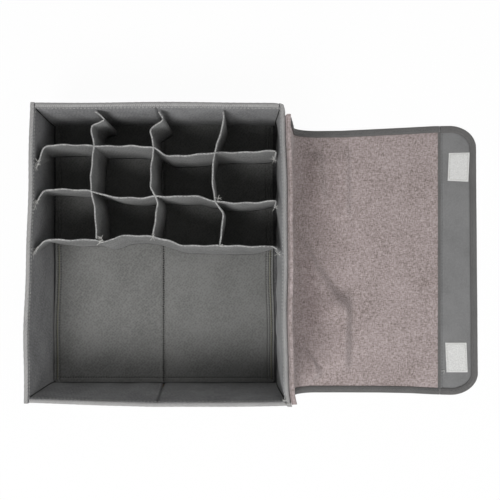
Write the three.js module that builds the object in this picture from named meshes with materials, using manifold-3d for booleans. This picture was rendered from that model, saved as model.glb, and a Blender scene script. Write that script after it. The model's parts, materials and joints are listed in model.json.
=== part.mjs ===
// A soft drawer organizer: an open cloth box with twelve sewn cells and one large compartment,
// and a cloth lid that hangs over the right wall and lies open beside the box.
// Millimetres, +Z up. The origin is the middle of the base, +Y runs towards the cells and +X
// towards the lid.
import * as THREE from "three";
import { mergeVertices } from "three/addons/utils/BufferGeometryUtils.js";
import Module from "manifold-3d";

const wasm = await Module();
wasm.setup();

// Box
const BOX_WIDTH = 305; // along X, over the rim binding
const BOX_DEPTH = 350; // along Y, over the rim binding
const BOX_HEIGHT = 125; // to the top of the rim binding
const OUTER_CLOTH = 1;
const BOARD = 2;
const LINING = 1;
const CLEARANCE = 0.3; // between neighbouring layers
const BOARD_INSET = 3; // a board stops this far inside the edges of its cloth
const CREASE_GAP = 4; // between the two boards of a creased wall or base
const RIM_CLOTH = 1; // thickness of the rim binding
const RIM_DROP = 8; // how far the rim binding reaches down
const INSERT_THICKNESS = 3;

// Grid
const COLUMNS = 4;
const ROW_PITCH = 51; // depth of a cell, middle to middle
const DIVIDER = 3; // thickness of a divider
const DIVIDER_BELOW_RIM = 12;
const TAB_RUN = 20; // from a divider's fold to where its tab reaches the wall
const TAB_SEWN = 8; // length of the tab that lies flat on the wall
const TAB_STANDOFF_LEFT = 15; // how far from the wall each divider folds
const TAB_STANDOFF_RIGHT = 6;
// How far each row divider has shifted towards the back where it meets the left fold, the column
// dividers and the right fold, and each column divider towards the right, from the back wall on.
const ROW_SLACK = [
  [10, 10, 8, 2, 4],
  [9, 8, 2, -4, -3],
  [2, -1, 5, -6, -9],
];
const COLUMN_SLACK = [
  [1, 1, -3, 6],
  [3, -3, -1, -4],
  [5, -4, -4, 2],
];

// Lid
const LID_INSET = 3; // the lid is this much narrower than the box at each side
const LID_SHIFT = -9; // the lid sits this far forward of the box's middle
const LID_OVER_RIM = 1.5; // from the rim binding to the closed lid
const LID_CLOTH = 2;
const LID_BINDING = 0.8; // thickness of each leaf of the edge binding
const LID_BINDING_WIDTH = 9;
const LID_LEAN = 5; // degrees from the vertical where it hangs
const LID_BEND_RADIUS = 35; // where it turns onto the surface
const LID_BENDS = 3;
const END_BAND = 49; // from the cross seam to the free edge
const CORNER_RADIUS = 30;
const HINGE_GAP = 0.5; // from the hinge axis to the hanging cloth
const FOLD_GAP = 0.3; // from each fold's axis to the cloth on either side
const PATCH_LENGTH = 38; // along Y
const PATCH_WIDTH = 27;
const PATCH_FROM_FOLD = 12;
const PATCH_INSET = 28; // from the lid's front and back edges

// Sizes that follow from these
const wallThickness = OUTER_CLOTH + BOARD + LINING + 2 * CLEARANCE;
const rimStandoff = RIM_CLOTH + CLEARANCE;
const outerX = BOX_WIDTH / 2 - rimStandoff;
const outerY = BOX_DEPTH / 2 - rimStandoff;
const innerX = outerX - wallThickness;
const innerY = outerY - wallThickness;
const wallTop = BOX_HEIGHT - rimStandoff;
const wallBottom = OUTER_CLOTH + CLEARANCE;
const baseLiningBottom = wallBottom + BOARD + CLEARANCE;
const insertBottom = baseLiningBottom + LINING + CLEARANCE;
const dividerBottom = insertBottom + INSERT_THICKNESS + CLEARANCE;
const dividerTop = BOX_HEIGHT - DIVIDER_BELOW_RIM;
const columnPitch = (2 * innerX) / COLUMNS;

const lidWidth = BOX_DEPTH - 2 * LID_INSET;
const patchMiddle = lidWidth / 2 - PATCH_INSET - PATCH_LENGTH / 2;
const lidHalf = LID_CLOTH / 2 + CLEARANCE + LID_BINDING;
const hingeX = BOX_WIDTH / 2 + CLEARANCE + lidHalf;
const hingeZ = BOX_HEIGHT + LID_OVER_RIM + lidHalf;
const bendAngle = THREE.MathUtils.degToRad((90 - LID_LEAN) / LID_BENDS);
const bendChord = 2 * LID_BEND_RADIUS * Math.tan(bendAngle / 2);
const leanAngle = THREE.MathUtils.degToRad(LID_LEAN);

// Colours
const greyCloth = new THREE.MeshStandardMaterial({ color: 0x77787a, roughness: 0.95, metalness: 0 });
const paleCloth = new THREE.MeshStandardMaterial({ color: 0xa3a3a0, roughness: 0.95, metalness: 0 });
const darkBinding = new THREE.MeshStandardMaterial({ color: 0x626465, roughness: 0.95, metalness: 0 });
const taupeCloth = new THREE.MeshStandardMaterial({ color: 0x958b87, roughness: 0.9, metalness: 0 });
const board = new THREE.MeshStandardMaterial({ color: 0x9b8566, roughness: 0.9, metalness: 0 });
const patch = new THREE.MeshStandardMaterial({ color: 0xe2e2e0, roughness: 0.85, metalness: 0 });

const organizer = new THREE.Group();

// A closed mesh as a solid that can be joined and cut.
function solidOf(geometry) {
  const faces = geometry.index ? geometry.toNonIndexed() : geometry;
  const bare = new THREE.BufferGeometry();
  bare.setAttribute("position", faces.getAttribute("position"));
  const merged = mergeVertices(bare, 1e-4);
  return new wasm.Manifold(
    new wasm.Mesh({
      numProp: 3,
      vertProperties: merged.attributes.position.array,
      triVerts: new Uint32Array(merged.index.array),
    }),
  );
}

function geometryOf(solid) {
  const mesh = solid.getMesh();
  const geometry = new THREE.BufferGeometry();
  geometry.setAttribute("position", new THREE.BufferAttribute(mesh.vertProperties, 3));
  geometry.setIndex(new THREE.BufferAttribute(mesh.triVerts, 1));
  geometry.computeVertexNormals();
  return geometry;
}

function block([x0, x1], [y0, y1], [z0, z1]) {
  const geometry = new THREE.BoxGeometry(x1 - x0, y1 - y0, z1 - z0);
  return geometry.translate((x0 + x1) / 2, (y0 + y1) / 2, (z0 + z1) / 2);
}

function join(...geometries) {
  const [first, ...others] = geometries.map(solidOf);
  return geometryOf(others.reduce((whole, next) => whole.add(next), first));
}

function cut(geometry, ...cutters) {
  return geometryOf(cutters.reduce((left, cutter) => left.subtract(solidOf(cutter)), solidOf(geometry)));
}

function upright(points, [z0, z1]) {
  const shape = new THREE.Shape(points);
  const geometry = new THREE.ExtrudeGeometry(shape, { depth: z1 - z0, bevelEnabled: false, curveSegments: 8 });
  return geometry.translate(0, 0, z0);
}

function add(name, geometry, material, parent = organizer) {
  const mesh = new THREE.Mesh(geometry, material.clone());
  mesh.name = name;
  parent.add(mesh);
  return mesh;
}

// Walls. Each is outer cloth, board and lining. The left and right walls run the full depth, and
// the front and back walls stand between them.
const wallZ = [wallBottom, wallTop];
const boardZ = [wallBottom + BOARD_INSET, wallTop - BOARD_INSET];
const betweenSides = innerX - CLEARANCE;

// Where a layer lies, from the outer face of its wall inwards, on the side that sign names.
function layer(outerFace, depth, thickness, sign) {
  const near = outerFace - depth;
  const ends = [sign * near, sign * (near - thickness)];
  return ends.sort((a, b) => a - b);
}

const boardDepth = OUTER_CLOTH + CLEARANCE;
const liningDepth = boardDepth + BOARD + CLEARANCE;
for (const [side, sign] of [["left", -1], ["right", 1]]) {
  const alongY = [-outerY, outerY];
  const boardY = [-outerY + BOARD_INSET, outerY - BOARD_INSET];
  add(side + "_wall_cloth", block(layer(outerX, 0, OUTER_CLOTH, sign), alongY, wallZ), greyCloth);
  add(side + "_wall_board", block(layer(outerX, boardDepth, BOARD, sign), boardY, boardZ), board);
  add(side + "_wall_lining", block(layer(outerX, liningDepth, LINING, sign), alongY, wallZ), greyCloth);
}
for (const [side, sign] of [["front", -1], ["back", 1]]) {
  const alongX = [-betweenSides, betweenSides];
  const leftBoardX = [-betweenSides + BOARD_INSET, -CREASE_GAP / 2];
  const rightBoardX = [CREASE_GAP / 2, betweenSides - BOARD_INSET];
  const boardY = layer(outerY, boardDepth, BOARD, sign);
  add(side + "_wall_cloth", block(alongX, layer(outerY, 0, OUTER_CLOTH, sign), wallZ), greyCloth);
  add(side + "_wall_board_left", block(leftBoardX, boardY, boardZ), board);
  add(side + "_wall_board_right", block(rightBoardX, boardY, boardZ), board);
  add(side + "_wall_lining", block(alongX, layer(outerY, liningDepth, LINING, sign), wallZ), greyCloth);
}

// Base: outer cloth under everything, two boards, lining, and the hemmed insert in two halves.
const floorX = innerX - CLEARANCE;
const floorY = innerY - CLEARANCE;
const baseBoardZ = [wallBottom, wallBottom + BOARD];
const insertZ = [insertBottom, insertBottom + INSERT_THICKNESS];
const floorDepth = [-floorY, floorY];
add("base_cloth", block([-outerX, outerX], [-outerY, outerY], [0, OUTER_CLOTH]), greyCloth);
add("base_board_left", block([-floorX, -CREASE_GAP / 2], floorDepth, baseBoardZ), board);
add("base_board_right", block([CREASE_GAP / 2, floorX], floorDepth, baseBoardZ), board);
add("base_lining", block([-floorX, floorX], floorDepth, [baseLiningBottom, baseLiningBottom + LINING]), greyCloth);
add("base_insert_left", block([-floorX, -CLEARANCE / 2], floorDepth, insertZ), greyCloth);
add("base_insert_right", block([CLEARANCE / 2, floorX], floorDepth, insertZ), greyCloth);

// Rim binding: a strip folded over the top edge of each wall, with an outer and an inner leaf.
const rimZ = [BOX_HEIGHT - RIM_DROP, BOX_HEIGHT];
const rimTopZ = [BOX_HEIGHT - RIM_CLOTH, BOX_HEIGHT];
const rimUnderTop = BOX_HEIGHT - RIM_CLOTH - CLEARANCE;
const rimInner = rimStandoff + wallThickness + CLEARANCE; // depth of the inner leaf's near face
const rimWidth = rimInner + RIM_CLOTH;
const sideRimInnerX = BOX_WIDTH / 2 - rimWidth;
for (const [side, sign] of [["left", -1], ["right", 1]]) {
  const alongY = [-BOX_DEPTH / 2, BOX_DEPTH / 2];
  const betweenY = [-floorY, floorY];
  const binding = join(
    block(layer(BOX_WIDTH / 2, 0, rimWidth, sign), alongY, rimTopZ),
    block(layer(BOX_WIDTH / 2, 0, RIM_CLOTH, sign), alongY, rimZ),
    block(layer(BOX_WIDTH / 2, rimInner, RIM_CLOTH, sign), betweenY, rimZ),
  );
  add(side + "_rim_binding", binding, darkBinding);
}
for (const [side, sign] of [["front", -1], ["back", 1]]) {
  const reach = sideRimInnerX - CLEARANCE;
  const outerLeaf = layer(BOX_DEPTH / 2, 0, RIM_CLOTH, sign);
  const binding = join(
    block([-reach, reach], layer(BOX_DEPTH / 2, 0, rimWidth, sign), rimTopZ),
    block([-reach, reach], outerLeaf, rimZ),
    block([-outerX, outerX], outerLeaf, [rimZ[0], rimUnderTop]),
    block([-reach, reach], layer(BOX_DEPTH / 2, rimInner, RIM_CLOTH, sign), rimZ),
  );
  add(side + "_rim_binding", binding, darkBinding);
}

// Fastener patches on the outside of the left wall, where the closed lid's end band lands.
const patchThickness = (hingeX - LID_CLOTH / 2 - outerX - 3 * CLEARANCE) / 2;
const patchTop = hingeZ - PATCH_FROM_FOLD;
const patchFaceX = -outerX - CLEARANCE;
for (const [place, sign] of [["front", -1], ["back", 1]]) {
  const middle = LID_SHIFT + sign * patchMiddle;
  const alongY = [middle - PATCH_LENGTH / 2, middle + PATCH_LENGTH / 2];
  const patchX = [patchFaceX - patchThickness, patchFaceX];
  add("wall_patch_" + place, block(patchX, alongY, [patchTop - PATCH_WIDTH, patchTop]), patch);
}

// Grid. A divider is an upright strip along a line through its crossings.
function strip(line, thickness) {
  const left = [];
  const right = [];
  line.forEach((point, i) => {
    const before = line[Math.max(i - 1, 0)];
    const after = line[Math.min(i + 1, line.length - 1)];
    const arriving = point.clone().sub(i ? before : point).normalize();
    const leaving = after.clone().sub(point).normalize();
    const way = arriving.clone().add(leaving).normalize();
    const square = new THREE.Vector2(-way.y, way.x);
    const edge = i && i < line.length - 1 ? arriving : way;
    const reach = thickness / 2 / Math.abs(square.dot(new THREE.Vector2(-edge.y, edge.x)));
    left.push(point.clone().addScaledVector(square, reach));
    right.unshift(point.clone().addScaledVector(square, -reach));
  });
  return [...left, ...right];
}

const rowY = (row, place) => innerY - ROW_PITCH * (row + 1) + ROW_SLACK[row][place];
const columnX = (column, place) => -innerX + columnPitch * (column + 1) + COLUMN_SLACK[column][place];
const tabX = innerX - CLEARANCE - DIVIDER / 2;

function rowLine(row) {
  const leftY = rowY(row, 0);
  const rightY = rowY(row, COLUMNS);
  const line = [
    new THREE.Vector2(-tabX, leftY - TAB_RUN - TAB_SEWN),
    new THREE.Vector2(-tabX, leftY - TAB_RUN),
    new THREE.Vector2(-innerX + TAB_STANDOFF_LEFT, leftY),
  ];
  for (let column = 0; column < COLUMNS - 1; column++)
    line.push(new THREE.Vector2(columnX(column, row + 1), rowY(row, column + 1)));
  line.push(
    new THREE.Vector2(innerX - TAB_STANDOFF_RIGHT, rightY),
    new THREE.Vector2(tabX, rightY - TAB_RUN),
    new THREE.Vector2(tabX, rightY - TAB_RUN - TAB_SEWN),
  );
  return line;
}

function columnLine(column) {
  const line = [new THREE.Vector2(columnX(column, 0), innerY)];
  ROW_SLACK.forEach((_, row) => line.push(new THREE.Vector2(columnX(column, row + 1), rowY(row, column + 1))));
  return line;
}

const lapZ = (dividerBottom + dividerTop) / 2;
const rows = ROW_SLACK.map((_, row) => rowLine(row));
const columns = COLUMN_SLACK.map((_, column) => columnLine(column));
const slotWidth = DIVIDER + 2 * CLEARANCE;
const backLimit = block([-outerX, outerX], [innerY - CLEARANCE, outerY], [0, BOX_HEIGHT]);

// The column dividers drop into slots in the upper half of the row dividers.
rows.forEach((line, row) => {
  const sheet = upright(strip(line, DIVIDER), [dividerBottom, dividerTop]);
  const isFront = row === rows.length - 1;
  const slots = isFront
    ? []
    : columns.map((column) => upright(strip(column, slotWidth), [lapZ - CLEARANCE / 2, BOX_HEIGHT]));
  add("row_divider_" + (row + 1), cut(sheet, ...slots), paleCloth);
});

// Each column divider is slotted from below, starts at the back wall and stops at the front row.
columns.forEach((line, column) => {
  const sheet = upright(strip(line, DIVIDER), [dividerBottom, dividerTop]);
  const slots = rows.map((row, i) => {
    const isFront = i === rows.length - 1;
    return upright(strip(row, slotWidth), [0, isFront ? BOX_HEIGHT : lapZ + CLEARANCE / 2]);
  });
  add("column_divider_" + (column + 1), cut(sheet, backLimit, ...slots), paleCloth);
});

// Lid. Each stretch is built flat, along local +X from its fold, inner face up, and hangs from the
// end of the stretch before it. Where two stretches fold, their inner edges are cut back.
const bendSlope = Math.tan(bendAngle / 2);
const rightAngleSlope = 1;
const lidY = [LID_SHIFT - lidWidth / 2, LID_SHIFT + lidWidth / 2];
const surfaceToHinge = hingeZ - lidHalf;
let bendDrop = 0;
let bendRun = 0;
for (let bend = 1; bend < LID_BENDS; bend++) {
  const fall = Math.PI / 2 - leanAngle - bend * bendAngle;
  bendDrop += bendChord * Math.sin(fall);
  bendRun += bendChord * Math.cos(fall);
}
const hangLength = (surfaceToHinge - bendDrop) / Math.cos(leanAngle);
const closedLength = 2 * hingeX;
const lyingLength = closedLength - hangLength - (LID_BENDS - 1) * bendChord;

// A prism across the whole lid that takes away what lies beyond a fold at one end of a stretch.
function foldCutter(at, direction, gap, slope) {
  const far = 10 * lidHalf;
  const points = [
    [-far, -far],
    [gap, -far],
    [gap, 0],
    [gap + slope * far, far],
    [-far, far],
  ].map(([along, height]) => new THREE.Vector2(at + direction * along, height));
  const shape = new THREE.Shape(points);
  const geometry = new THREE.ExtrudeGeometry(shape, { depth: 2 * lidWidth, bevelEnabled: false });
  return geometry.rotateX(Math.PI / 2).translate(0, LID_SHIFT + lidWidth, 0);
}

function lidStretch(name, parent, length, start, end) {
  const cutters = [
    foldCutter(0, 1, start.gap, start.slope),
    foldCutter(length, -1, end.gap, end.slope),
  ];
  const along = [0, length];
  const clothY = [lidY[0] + CLEARANCE + LID_BINDING, lidY[1] - CLEARANCE - LID_BINDING];
  const clothZ = [-LID_CLOTH / 2, LID_CLOTH / 2];
  add(name + "_cloth", cut(block(along, clothY, clothZ), ...cutters), taupeCloth, parent);
  for (const [side, edge, sign] of [["front", lidY[0], 1], ["back", lidY[1], -1]]) {
    const leafY = [edge, edge + sign * LID_BINDING_WIDTH].sort((a, b) => a - b);
    const webY = [edge, edge + sign * LID_BINDING].sort((a, b) => a - b);
    const binding = join(
      block(along, leafY, [lidHalf - LID_BINDING, lidHalf]),
      block(along, leafY, [-lidHalf, LID_BINDING - lidHalf]),
      block(along, webY, [-lidHalf, lidHalf]),
    );
    add(name + "_binding_" + side, cut(binding, ...cutters), darkBinding, parent);
  }
}

const bend = { gap: FOLD_GAP, slope: bendSlope };
const rightAngle = { gap: FOLD_GAP, slope: rightAngleSlope };
const hinge = { gap: HINGE_GAP, slope: 0 };

const hanging = new THREE.Group();
hanging.position.set(hingeX, 0, hingeZ);
hanging.rotation.y = Math.PI / 2 - leanAngle;
organizer.add(hanging);
lidStretch("lid_drop", hanging, hangLength, hinge, bend);

let before = hanging;
let beforeLength = hangLength;
for (let i = 1; i <= LID_BENDS; i++) {
  const stretch = new THREE.Group();
  stretch.position.x = beforeLength;
  stretch.rotation.y = -bendAngle;
  before.add(stretch);
  before = stretch;
  beforeLength = bendChord;
  if (i < LID_BENDS) lidStretch("lid_bend_" + i, stretch, bendChord, bend, bend);
}
const lying = before;
lidStretch("lid_main", lying, lyingLength, bend, rightAngle);

// End band: its free edge has round corners, and one binding runs round its three free sides.
const band = new THREE.Group();
band.position.x = lyingLength;
lying.add(band);

function bandOutline(inset) {
  const radius = CORNER_RADIUS - inset;
  const farX = END_BAND - inset;
  const [frontY, backY] = [lidY[0] + inset, lidY[1] - inset];
  const shape = new THREE.Shape();
  shape.moveTo(0, frontY);
  shape.lineTo(farX - radius, frontY);
  shape.absarc(farX - radius, frontY + radius, radius, -Math.PI / 2, 0, false);
  shape.lineTo(farX, backY - radius);
  shape.absarc(farX - radius, backY - radius, radius, 0, Math.PI / 2, false);
  shape.lineTo(0, backY);
  return shape.getPoints(8);
}

const bandCutter = foldCutter(0, 1, FOLD_GAP, rightAngleSlope);
const bandPlate = (inset, z) => upright(bandOutline(inset), z);
const wholeBandZ = [-lidHalf, lidHalf];
const bandCloth = bandPlate(CLEARANCE + LID_BINDING, [-LID_CLOTH / 2, LID_CLOTH / 2]);
add("lid_end_band", cut(bandCloth, bandCutter), greyCloth, band);

const leafGap = [LID_BINDING - lidHalf, lidHalf - LID_BINDING];
const bandBinding = cut(
  bandPlate(0, wholeBandZ),
  bandPlate(LID_BINDING, leafGap),
  upright(
    bandOutline(LID_BINDING_WIDTH).map((p) => new THREE.Vector2(p.x === 0 ? -1 : p.x, p.y)),
    [-2 * lidHalf, 2 * lidHalf],
  ),
  bandCutter,
);
add("lid_end_binding", bandBinding, darkBinding, band);

const patchZ = [LID_CLOTH / 2 + CLEARANCE, LID_CLOTH / 2 + CLEARANCE + patchThickness];
for (const [place, sign] of [["front", -1], ["back", 1]]) {
  const middle = LID_SHIFT + sign * patchMiddle;
  const alongY = [middle - PATCH_LENGTH / 2, middle + PATCH_LENGTH / 2];
  const alongX = [PATCH_FROM_FOLD, PATCH_FROM_FOLD + PATCH_WIDTH];
  add("lid_patch_" + place, block(alongX, alongY, patchZ), patch, band);
}

export default organizer;
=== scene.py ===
# A soft drawer organizer: a grey cloth box with twelve sewn cells behind one large compartment,
# and a taupe cloth lid that hangs over the right wall and lies open beside the box.
# Sizes are in millimetres until a mesh is made. +X runs towards the lid, +Y towards the cells.
import json
import math

import bmesh
import bpy
import mathutils
import numpy as np
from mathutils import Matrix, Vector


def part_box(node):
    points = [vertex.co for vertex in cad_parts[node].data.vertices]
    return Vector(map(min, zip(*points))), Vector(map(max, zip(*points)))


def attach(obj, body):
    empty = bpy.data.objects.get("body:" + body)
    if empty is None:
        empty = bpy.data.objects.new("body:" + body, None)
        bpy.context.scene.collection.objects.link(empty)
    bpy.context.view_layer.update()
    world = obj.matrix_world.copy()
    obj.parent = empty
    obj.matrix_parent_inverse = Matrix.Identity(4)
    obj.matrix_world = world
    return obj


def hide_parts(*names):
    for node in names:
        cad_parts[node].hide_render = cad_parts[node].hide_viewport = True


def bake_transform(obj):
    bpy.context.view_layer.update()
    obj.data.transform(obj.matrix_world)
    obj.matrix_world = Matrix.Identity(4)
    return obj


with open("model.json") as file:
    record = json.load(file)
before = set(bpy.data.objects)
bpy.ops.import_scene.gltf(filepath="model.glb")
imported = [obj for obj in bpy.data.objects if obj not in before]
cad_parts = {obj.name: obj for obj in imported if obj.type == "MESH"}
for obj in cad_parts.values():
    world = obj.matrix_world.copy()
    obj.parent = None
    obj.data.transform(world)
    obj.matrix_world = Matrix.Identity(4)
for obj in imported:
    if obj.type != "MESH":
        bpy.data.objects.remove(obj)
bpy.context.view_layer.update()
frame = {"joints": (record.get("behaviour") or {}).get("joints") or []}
MM = 0.001

# Base. The outside cloth is one sheet of matt non-woven polypropylene, bonded from fibres and
# embossed with a fine diamond grid. Two cardboard boards lie on it with a crease between them,
# and the lining is sewn over them.
BOX_FRONT, BOX_BACK, BOX_SIDE, RIM_Z = -175.0, 175.0, 152.5, 125.0
# How far the rims lean out, or in on the left at the back, and how far the corners and the front bend.
LEFT_RIM_IN_AT_BACK, LEFT_RIM_OUT = 8.5, 1.2
RIGHT_RIM_OUT, RIGHT_RIM_OUT_AT_FRONT = 0.8, 3.2
FRONT_CORNER_CURL, CURL_LENGTH = 4.0, 11.0
BACK_CORNER_CUT, CUT_LENGTH = 3.0, 5.0
BACK_RIM_OUT, FRONT_RIM_OUT, FRONT_RIM_BOW = 3.0, 0.8, 2.6
FRONT_LEFT_IN, FRONT_LEFT_LENGTH = 3.2, 120.0
# The rims' unevenness: how far each wave stands out of line, and how long it is.
SIDE_WAVE, SIDE_WAVE_LENGTH = 0.7, 41.0
SIDE_RIPPLE, SIDE_RIPPLE_LENGTH = 0.4, 17.0
END_WAVE, END_WAVE_LENGTH = 0.6, 37.0
TOP_WAVE, TOP_DROP = 0.5, 0.3
FLOOR_CREASE_X, RIM_CREASE_X = -2.5, 1.0
BASE_STEP = 9.0


def sway(points):
    """Where the soft box really stands: its rims lean, its front bows and its cloth is uneven."""
    x, y, z = points[..., 0], points[..., 1], points[..., 2]
    up = np.clip(z / RIM_Z, 0.0, 1.1)
    front = np.clip((BOX_BACK - y) / (BOX_BACK - BOX_FRONT), 0.0, 1.0)
    back = 1 - front
    share = np.clip(np.abs(x) / BOX_SIDE, 0.0, 1.05)
    curl = FRONT_CORNER_CURL * np.exp(-np.clip(y - BOX_FRONT, 0, None) / CURL_LENGTH)
    cut = BACK_CORNER_CUT * np.exp(-np.clip(BOX_BACK - y, 0, None) / CUT_LENGTH)
    rightward = RIGHT_RIM_OUT + RIGHT_RIM_OUT_AT_FRONT * front + curl - cut
    inward = LEFT_RIM_IN_AT_BACK * back**1.5 - LEFT_RIM_OUT
    dx = up * share * np.where(x > 0, rightward, inward)
    dx += up * SIDE_WAVE * np.sin(y / SIDE_WAVE_LENGTH + 0.6)
    dx += up * SIDE_RIPPLE * np.sin(y / SIDE_RIPPLE_LENGTH + x / 60.0)
    bow = FRONT_RIM_BOW * np.cos(np.clip(x / BOX_SIDE, -1, 1) * math.pi / 2)
    dy = up * (back**4 * BACK_RIM_OUT - front**4 * (FRONT_RIM_OUT + bow))
    dy -= up * back**4 * BACK_CORNER_CUT * np.exp(-np.clip(BOX_SIDE - x, 0, None) / CUT_LENGTH)
    dy += up * front**4 * FRONT_LEFT_IN * np.sin(np.clip(-x / FRONT_LEFT_LENGTH, 0, 1) * math.pi / 2)
    dy += up * END_WAVE * np.sin(x / END_WAVE_LENGTH + 1.1)
    dz = up**3 * (TOP_WAVE * np.sin(x / 33.0 + y / 45.0) - TOP_DROP)
    return points + np.stack([dx, dy, dz], axis=-1)


def linear(hex_code):
    """An sRGB hex code as the linear colour that a shader takes."""
    parts = [int(hex_code[i : i + 2], 16) / 255 for i in (1, 3, 5)]
    return tuple(c / 12.92 if c <= 0.04045 else ((c + 0.055) / 1.055) ** 2.4 for c in parts) + (1.0,)


def node(tree, kind, settings=None, links=None):
    """Adds a shader node, sets its properties and sockets, and links its inputs."""
    made = tree.nodes.new(kind)
    for key, value in (settings or {}).items():
        if isinstance(key, str) and hasattr(made, key):
            setattr(made, key, value)
        else:
            made.inputs[key].default_value = value
    for key, source in (links or {}).items():
        tree.links.new(source, made.inputs[key])
    return made


def maths(tree, operation, *values):
    """One sum in a shader. Each value is a number or another node's output."""
    made = node(tree, "ShaderNodeMath", {"operation": operation})
    for k, value in enumerate(values):
        if isinstance(value, float):
            made.inputs[k].default_value = value
        else:
            tree.links.new(value, made.inputs[k])
    return made.outputs[0]


def noise(tree, place, settings):
    """Fine unevenness, as a value from 0 to 1."""
    return node(tree, "ShaderNodeTexNoise", settings, {"Vector": place}).outputs["Fac"]


def new_material(name, settings):
    """A material with its surface's settings, its node tree, its surface shader and its coordinates."""
    material = bpy.data.materials.new(name)
    material.use_nodes = True
    tree = material.node_tree
    surface = tree.nodes["Principled BSDF"]
    for key, value in settings.items():
        surface.inputs[key].default_value = value
    return material, tree, surface, node(tree, "ShaderNodeTexCoord").outputs["Object"]


def two_tone(tree, surface, tone, shades, positions=(0.0, 1.0)):
    """Colours a surface from one shade to the other by a tone."""
    ramp = node(tree, "ShaderNodeValToRGB", links={"Fac": tone})
    for element, shade, position in zip(ramp.color_ramp.elements, shades, positions):
        element.position = position
        element.color = linear(shade)
    tree.links.new(ramp.outputs["Color"], surface.inputs["Base Color"])


def relief(tree, surface, height, strength, depth):
    """Gives a surface a fine relief of a strength, and of a depth in millimetres."""
    bump = node(tree, "ShaderNodeBump", {"Strength": strength, "Distance": depth * MM}, {"Height": height})
    tree.links.new(bump.outputs["Normal"], surface.inputs["Normal"])


# The real dots are about 1 mm apart. They are drawn 2.6 mm apart, so that they show.
DOT_PITCH = 2.6


def nonwoven(name, shade, dark, dot_pitch=DOT_PITCH, strength=0.35):
    """Non-woven polypropylene: fibres bonded flat and pressed with fine dots, so it has no thread."""
    material, tree, surface, place = new_material(
        name, {"Roughness": 0.94, "Specular IOR Level": 0.25, "Sheen Weight": 0.15})
    turned = node(tree, "ShaderNodeMapping", {"Rotation": (0.7, 0.5, math.pi / 4)}, {"Vector": place})
    dots = node(
        tree, "ShaderNodeTexVoronoi", {"Scale": 1 / (dot_pitch * MM), "Randomness": 0.65},
        {"Vector": turned.outputs["Vector"]}).outputs["Distance"]
    fibre = noise(tree, place, {"Scale": 700.0, "Detail": 3.0})
    cloud = noise(tree, place, {"Scale": 26.0, "Detail": 5.0, "Roughness": 0.6})
    pressed = maths(tree, "MULTIPLY_ADD", dots, 0.6, maths(tree, "MULTIPLY", cloud, 0.7))
    tone = maths(tree, "MULTIPLY_ADD", fibre, 0.4, pressed)
    two_tone(tree, surface, tone, (dark, shade), (0.58, 1.0))
    relief(tree, surface, maths(tree, "MULTIPLY_ADD", fibre, 0.5, dots), strength, 0.4)
    return material


outside_nonwoven = nonwoven("outside_nonwoven", "#949597", "#6e6f71")
lining_nonwoven = nonwoven("lining_nonwoven", "#9c9c9d", "#727273")
base_nonwoven = nonwoven("base_nonwoven", "#666667", "#4a4a4b")


def cardboard_finish():
    """Grey-brown cardboard: pressed pulp with flecks, a dull face and faint long fibres."""
    material, tree, surface, place = new_material("grey_brown_cardboard", {"Roughness": 0.9})
    long_way = node(tree, "ShaderNodeMapping", {"Scale": (60.0, 400.0, 60.0)}, {"Vector": place})
    pulp = noise(tree, long_way.outputs["Vector"], {"Scale": 4.0, "Detail": 5.0})
    two_tone(tree, surface, pulp, ("#7b6a52", "#a28d70"))
    relief(tree, surface, pulp, 0.2, 0.2)
    return material


cardboard = cardboard_finish()


def make(name, vertices, faces, sharp, material):
    """A mesh object from points in millimetres. The faces numbered in sharp keep hard edges."""
    mesh = bpy.data.meshes.new(name)
    mesh.from_pydata([tuple(v) for v in np.asarray(vertices) * MM], [], faces)
    mesh.materials.append(material)
    shape = bmesh.new()
    shape.from_mesh(mesh)
    bmesh.ops.recalc_face_normals(shape, faces=shape.faces)
    for face in shape.faces:
        face.smooth = face.index not in sharp
    for edge in shape.edges:
        edge.smooth = all(face.smooth for face in edge.link_faces)
    shape.to_mesh(mesh)
    shape.free()
    made = bpy.data.objects.new(name, mesh)
    bpy.context.scene.collection.objects.link(made)
    return made


def layer(name, points, thickness, material):
    """A sheet of cloth or board about a grid of points, closed all round with hard edges."""
    rows, columns = points.shape[:2]
    normal = np.cross(np.gradient(points, axis=0), np.gradient(points, axis=1))
    normal /= np.maximum(np.linalg.norm(normal, axis=-1, keepdims=True), 1e-9)
    offset = normal * thickness / 2
    vertices = np.concatenate([(points + offset).reshape(-1, 3), (points - offset).reshape(-1, 3)])
    count = rows * columns
    faces = []
    for i in range(rows - 1):
        for j in range(columns - 1):
            a = i * columns + j
            quad = [a, a + columns, a + columns + 1, a + 1]
            faces.append(quad)
            faces.append([q + count for q in reversed(quad)])
    smooth = len(faces)
    ring = list(range(columns)) + [i * columns + columns - 1 for i in range(1, rows)]
    ring += [(rows - 1) * columns + j for j in range(columns - 2, -1, -1)]
    ring += [i * columns for i in range(rows - 2, 0, -1)]
    for a, b in zip(ring, ring[1:] + ring[:1]):
        faces.append([a, b, b + count, a + count])
    return make(name, vertices, faces, range(smooth, len(faces)), material)


def grid(start, along, across, along_count, across_count):
    """Points of a flat rectangle from its corner and its two sides."""
    u = np.linspace(0, 1, along_count)[:, None, None]
    v = np.linspace(0, 1, across_count)[None, :, None]
    return np.array(start, float) + u * np.array(along, float) + v * np.array(across, float)


def cad_size(name):
    """A node's lowest and highest corner in millimetres."""
    low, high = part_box(name)
    return np.array(low) / MM, np.array(high) / MM


def cad_grid(name, first_step, second_step):
    """The middle of a flat node as a grid of points, with its two sides and its thickness."""
    low, high = cad_size(name)
    size = high - low
    thin = int(np.argmin(size))
    first, second = [k for k in range(3) if k != thin]
    start, sides = low.copy(), np.diag(size)
    start[thin] = (low[thin] + high[thin]) / 2
    counts = max(3, int(size[first] / first_step)), max(3, int(size[second] / second_step))
    points = grid(start, sides[first], sides[second], *counts)
    return points, (size[first] * MM, size[second] * MM), size[thin]


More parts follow.
